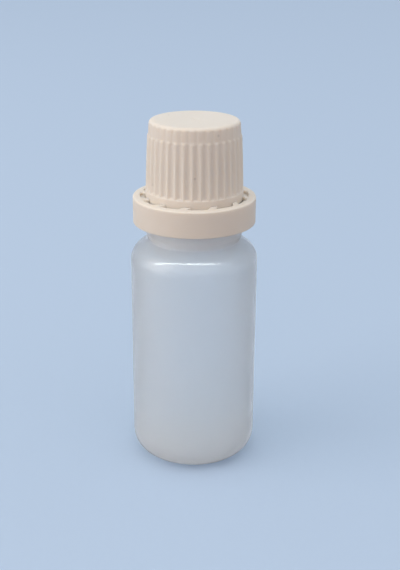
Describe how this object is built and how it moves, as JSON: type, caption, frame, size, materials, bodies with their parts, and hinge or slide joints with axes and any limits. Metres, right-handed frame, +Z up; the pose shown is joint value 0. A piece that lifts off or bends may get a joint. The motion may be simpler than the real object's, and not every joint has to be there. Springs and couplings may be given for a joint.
{
  "type": "shot bottle",
  "caption": "Small round milky squeeze bottle with a tall ribbed ivory screw cap, a breakaway tamper ring and a dropper nozzle under the cap, for a single dose of liquid.",
  "frame": {"origin": "centre of the plane that the bottle stands on", "axes": "+Z up along the axis of the bottle, -Y toward the camera of the picture, +X to its right"},
  "size_m": [0.0272, 0.0272, 0.0754],
  "materials": {
    "bottle_plastic": "milky translucent natural polyethylene, satin",
    "insert_plastic": "natural polyethylene, satin",
    "liner_foam": "soft white foamed polyethylene",
    "cap_plastic": "ivory white polypropylene, satin gloss"
  },
  "bodies": {
    "bottle": {"bottle_body": "bottle_plastic", "dropper_insert": "insert_plastic"},
    "liner": {"cap_liner": "liner_foam"},
    "cap": {"screw_cap": "cap_plastic"},
    "ring": {"tamper_ring": "cap_plastic"}
  },
  "joints": [
    {"name": "cap_lift", "type": "slide", "parent": "bottle", "child": "liner", "axis": [0, 0, 1], "range_m": [0, 0.006]},
    {"name": "cap_turn", "type": "hinge", "parent": "liner", "child": "cap", "pos_m": [0, 0, 0.067], "axis": [0, 0, 1], "range_deg": [0, 720]},
    {"name": "ring_spin", "type": "hinge", "parent": "bottle", "child": "ring", "pos_m": [0, 0, 0.0564], "axis": [0, 0, 1], "continuous": true}
  ],
  "couplings": [
    {"joint": "cap_lift", "follows": "cap_turn", "m_per_rad": 0.00047746}
  ]
}
